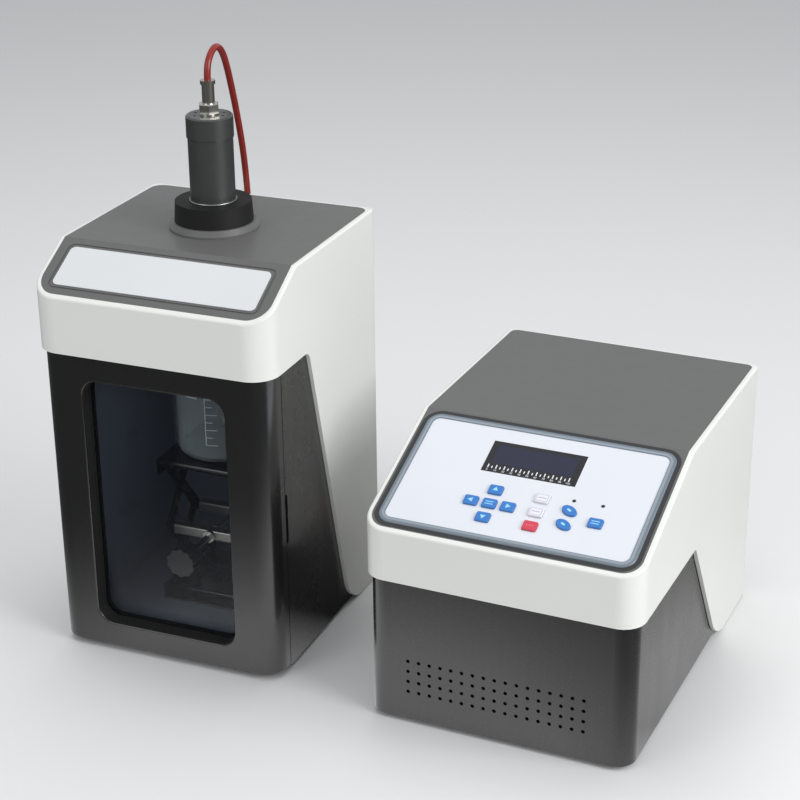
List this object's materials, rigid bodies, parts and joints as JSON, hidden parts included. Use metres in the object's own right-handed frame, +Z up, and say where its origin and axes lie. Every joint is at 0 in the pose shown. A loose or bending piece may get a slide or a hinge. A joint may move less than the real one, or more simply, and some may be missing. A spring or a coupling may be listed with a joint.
{
  "type": "probe sonicator",
  "caption": "Probe sonicator: sound-proof cabinet with converter, horn, lab jack and beaker, joined by a red cable to its generator with display and keys.",
  "frame": {"origin": "on the bench, under the middle of the box round both units without the cable", "axes": "+Z up, -Y towards the user, +X from the cabinet towards the generator; the longest side lies along X"},
  "size_m": [0.6644, 0.5015, 0.6215],
  "materials": {
    "hood_white": "satin moulded",
    "inlay_grey": "matte",
    "nameplate_grey": "satin",
    "body_dark": "semi gloss",
    "door_dark": "semi gloss",
    "liner_foam": "matte",
    "black_rubber": "matte",
    "clear_pane": "clear",
    "zinc_steel": "satin",
    "black_plastic": "matte",
    "anodised": "satin",
    "bare_aluminium": "machined",
    "ceramic": "matte",
    "titanium": "machined",
    "nickel": "polished",
    "cable_red": "satin",
    "jack_metal": "satin anodised",
    "plate_silver": "satin film",
    "border_blue_grey": "satin",
    "display_dark": "glossy",
    "lamp_dark": "glossy",
    "board_green": "matte",
    "core_steel": "wound",
    "key_blue": "satin",
    "key_pale": "satin",
    "key_red": "satin"
  },
  "bodies": {
    "root": {"cabinet_hood": "hood_white", "cabinet_top_panel": "inlay_grey", "nameplate": "nameplate_grey", "cabinet_shell": "body_dark", "chamber_liner": "liner_foam", "rubber_feet": "black_rubber", "hinge_bracket": "zinc_steel", "converter_collar": "black_plastic", "converter_housing": "anodised", "converter_cap": "anodised", "front_mass": "bare_aluminium", "piezo_stack": "ceramic", "back_mass": "zinc_steel", "preload_bolt": "zinc_steel", "horn": "titanium", "horn_tip": "titanium", "panel_sockets": "nickel", "cable_plugs": "nickel", "output_cable": "cable_red", "jack_base": "jack_metal", "generator_hood": "hood_white", "generator_top_panel": "inlay_grey", "control_panel": "plate_silver", "panel_border": "border_blue_grey", "display_module": "display_dark", "indicator_lamps": "lamp_dark", "key_board": "board_green", "generator_chassis": "body_dark", "rear_panel": "body_dark", "cooling_fan": "black_plastic", "mains_inlet": "black_plastic", "transformer": "core_steel"},
    "door": {"door_frame": "door_dark", "door_window": "clear_pane", "window_gasket": "black_rubber"},
    "lower_rising": {"lower_arms_rising": "jack_metal"},
    "lower_falling": {"lower_arms_falling": "jack_metal"},
    "upper_falling": {"upper_arms_falling": "jack_metal"},
    "upper_rising": {"upper_arms_rising": "jack_metal"},
    "platform": {"jack_platform": "jack_metal", "sample_beaker": "clear_pane"},
    "thrust_bar": {"jack_thrust_bar": "jack_metal"},
    "nut_bar": {"jack_nut_bar": "jack_metal"},
    "lift_screw": {"jack_screw": "zinc_steel", "jack_knob": "black_plastic"},
    "fan": {"fan_rotor": "black_plastic"},
    "rocker": {"power_rocker": "black_plastic"},
    "converter_nut": {"converter_plug_nut": "nickel"},
    "generator_nut": {"generator_plug_nut": "nickel"},
    "key_up_cap": {"key_up": "key_blue"},
    "key_left_cap": {"key_left": "key_blue"},
    "key_middle_cap": {"key_middle": "key_blue"},
    "key_right_cap": {"key_right": "key_blue"},
    "key_down_cap": {"key_down": "key_blue"},
    "key_upper_pale_cap": {"key_upper_pale": "key_pale"},
    "key_lower_pale_cap": {"key_lower_pale": "key_pale"},
    "key_red_cap": {"key_red": "key_red"},
    "key_upper_oval_cap": {"key_upper_oval": "key_blue"},
    "key_lower_oval_cap": {"key_lower_oval": "key_blue"},
    "key_far_right_cap": {"key_far_right": "key_blue"}
  },
  "joints": [
    {"name": "door_hinge", "type": "hinge", "parent": "root", "child": "door", "pos_m": [-0.3219, -0.14693, 0.17205], "axis": [0, 0, -1], "range_deg": [0, 96]},
    {"name": "jack_lift", "type": "hinge", "parent": "root", "child": "lower_rising", "pos_m": [-0.1997, -0.06043, 0.0235], "axis": [1, 0, 0], "range_deg": [-40, 3]},
    {"name": "lower_crossing", "type": "hinge", "parent": "lower_rising", "child": "lower_falling", "pos_m": [-0.1997, -0.03093, 0.06073], "axis": [1, 0, 0], "range_deg": [-6, 80]},
    {"name": "upper_root", "type": "hinge", "parent": "lower_rising", "child": "upper_falling", "pos_m": [-0.1997, -0.00143, 0.09795], "axis": [1, 0, 0], "range_deg": [-6, 80]},
    {"name": "upper_crossing", "type": "hinge", "parent": "upper_falling", "child": "upper_rising", "pos_m": [-0.1997, -0.03093, 0.13518], "axis": [1, 0, 0], "range_deg": [-80, 6]},
    {"name": "platform_pivot", "type": "hinge", "parent": "upper_falling", "child": "platform", "pos_m": [-0.1997, -0.06043, 0.1724], "axis": [1, 0, 0], "range_deg": [-40, 3]},
    {"name": "thrust_pivot", "type": "hinge", "parent": "lower_falling", "child": "thrust_bar", "pos_m": [-0.1997, -0.06043, 0.09795], "axis": [1, 0, 0], "range_deg": [-40, 3]},
    {"name": "nut_pivot", "type": "hinge", "parent": "lower_rising", "child": "nut_bar", "pos_m": [-0.1997, -0.00143, 0.09795], "axis": [1, 0, 0], "range_deg": [-3, 40]},
    {"name": "knob_turn", "type": "hinge", "parent": "thrust_bar", "child": "lift_screw", "pos_m": [-0.1997, -0.06043, 0.09795], "axis": [0, 1, 0], "range_deg": [-3200, 240]},
    {"name": "fan_spin", "type": "hinge", "parent": "root", "child": "fan", "pos_m": [0.11792, 0.18784, 0.12], "axis": [0.0394, 0.9992, 0], "continuous": true},
    {"name": "rocker_tilt", "type": "hinge", "parent": "root", "child": "rocker", "pos_m": [0.27216, 0.19076, 0.082], "axis": [0.9992, -0.0394, 0], "range_deg": [0, 22]},
    {"name": "converter_nut_turn", "type": "hinge", "parent": "root", "child": "converter_nut", "pos_m": [-0.1997, -0.02103, 0.5607], "axis": [0, 0, 1], "continuous": true},
    {"name": "generator_nut_turn", "type": "hinge", "parent": "root", "child": "generator_nut", "pos_m": [0.20049, 0.20059, 0.07], "axis": [0.0394, 0.9992, 0], "continuous": true},
    {"name": "key_up_press", "type": "slide", "parent": "root", "child": "key_up_cap", "axis": [0.0148, 0.3746, -0.9271], "range_m": [0, 0.0006], "stiffness_N_per_m": 400, "springref_m": -0.001},
    {"name": "key_left_press", "type": "slide", "parent": "root", "child": "key_left_cap", "axis": [0.0148, 0.3746, -0.9271], "range_m": [0, 0.0006], "stiffness_N_per_m": 400, "springref_m": -0.001},
    {"name": "key_middle_press", "type": "slide", "parent": "root", "child": "key_middle_cap", "axis": [0.0148, 0.3746, -0.9271], "range_m": [0, 0.0006], "stiffness_N_per_m": 400, "springref_m": -0.001},
    {"name": "key_right_press", "type": "slide", "parent": "root", "child": "key_right_cap", "axis": [0.0148, 0.3746, -0.9271], "range_m": [0, 0.0006], "stiffness_N_per_m": 400, "springref_m": -0.001},
    {"name": "key_down_press", "type": "slide", "parent": "root", "child": "key_down_cap", "axis": [0.0148, 0.3746, -0.9271], "range_m": [0, 0.0006], "stiffness_N_per_m": 400, "springref_m": -0.001},
    {"name": "key_upper_pale_press", "type": "slide", "parent": "root", "child": "key_upper_pale_cap", "axis": [0.0148, 0.3746, -0.9271], "range_m": [0, 0.0006], "stiffness_N_per_m": 400, "springref_m": -0.001},
    {"name": "key_lower_pale_press", "type": "slide", "parent": "root", "child": "key_lower_pale_cap", "axis": [0.0148, 0.3746, -0.9271], "range_m": [0, 0.0006], "stiffness_N_per_m": 400, "springref_m": -0.001},
    {"name": "key_red_press", "type": "slide", "parent": "root", "child": "key_red_cap", "axis": [0.0148, 0.3746, -0.9271], "range_m": [0, 0.0006], "stiffness_N_per_m": 400, "springref_m": -0.001},
    {"name": "key_upper_oval_press", "type": "slide", "parent": "root", "child": "key_upper_oval_cap", "axis": [0.0148, 0.3746, -0.9271], "range_m": [0, 0.0006], "stiffness_N_per_m": 400, "springref_m": -0.001},
    {"name": "key_lower_oval_press", "type": "slide", "parent": "root", "child": "key_lower_oval_cap", "axis": [0.0148, 0.3746, -0.9271], "range_m": [0, 0.0006], "stiffness_N_per_m": 400, "springref_m": -0.001},
    {"name": "key_far_right_press", "type": "slide", "parent": "root", "child": "key_far_right_cap", "axis": [0.0148, 0.3746, -0.9271], "range_m": [0, 0.0006], "stiffness_N_per_m": 400, "springref_m": -0.001}
  ],
  "couplings": [
    {"joint": "lower_crossing", "follows": "jack_lift", "ratio": -2},
    {"joint": "upper_root", "follows": "jack_lift", "ratio": -2},
    {"joint": "upper_crossing", "follows": "jack_lift", "ratio": 2},
    {"joint": "platform_pivot", "follows": "jack_lift", "ratio": 1},
    {"joint": "thrust_pivot", "follows": "jack_lift", "ratio": 1},
    {"joint": "nut_pivot", "follows": "jack_lift", "ratio": -1},
    {"joint": "knob_turn", "follows": "jack_lift", "ratio": 80}
  ]
}
